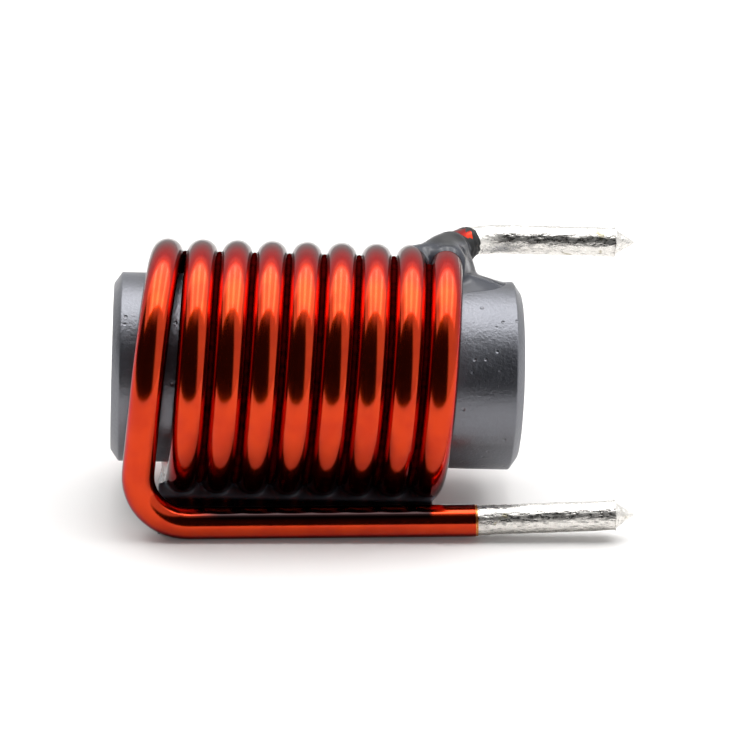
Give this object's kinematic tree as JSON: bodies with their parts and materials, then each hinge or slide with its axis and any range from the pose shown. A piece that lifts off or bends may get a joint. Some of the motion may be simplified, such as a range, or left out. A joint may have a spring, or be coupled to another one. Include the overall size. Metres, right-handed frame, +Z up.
{
  "type": "rod core power inductor",
  "caption": "Choke of thick enamelled copper wire wound on a ferrite rod, both tinned leads bent to leave past the same end of the rod.",
  "frame": {"origin": "centre of the rod's end face, the one between the two leads", "axes": "+X along the rod's axis towards the lead tips, +Z up from the lower lead's side to the upper lead's side, -Y to the side of the lower lead"},
  "size_m": [0.0256, 0.0126, 0.0131],
  "materials": {
    "ferrite": "sintered, semi-matt dark grey",
    "enamelled_copper": "clear orange-red enamel over drawn copper",
    "solder_tin": "hot-dipped tin, smooth with drag marks",
    "epoxy": "black epoxy, glossy as cured"
  },
  "bodies": {
    "root": {"ferrite_core": "ferrite", "winding": "enamelled_copper", "lower_tin_coat": "solder_tin", "upper_tin_coat": "solder_tin", "lower_glue_bead": "epoxy", "upper_glue_bead": "epoxy"}
  },
  "joints": []
}
